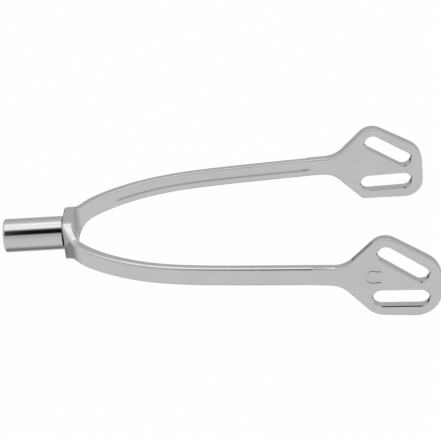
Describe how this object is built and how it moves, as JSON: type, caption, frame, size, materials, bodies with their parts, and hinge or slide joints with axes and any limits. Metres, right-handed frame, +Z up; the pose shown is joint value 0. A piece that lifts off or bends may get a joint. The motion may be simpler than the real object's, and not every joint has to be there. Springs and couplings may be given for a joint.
{
  "type": "horse riding spur",
  "caption": "Horse riding spur: a U-shaped steel yoke for the boot's heel, with slotted plates for the spur strap and a smooth barrel that turns on its neck.",
  "frame": {"origin": "on the neck axis, at the flat inner face of the heel boss", "axes": "+X from the heel to the toe, +Y to the wearer's left, +Z up; the neck points along -X"},
  "size_m": [0.1476, 0.0787, 0.0296],
  "materials": {
    "yoke_steel": "satin polished stainless steel",
    "roller_steel": "mirror polished stainless steel",
    "axle_steel": "turned",
    "acetal": "plain"
  },
  "bodies": {
    "heel_yoke": {"yoke": "yoke_steel", "neck_axle": "axle_steel", "thrust_washer": "acetal"},
    "roller": {"roller_sleeve": "roller_steel", "inner_bush": "acetal", "outer_bush": "acetal"}
  },
  "joints": [
    {"name": "roller_spin", "type": "hinge", "parent": "heel_yoke", "child": "roller", "pos_m": [-0.0143, 0, 0], "axis": [1, 0, 0], "continuous": true}
  ]
}
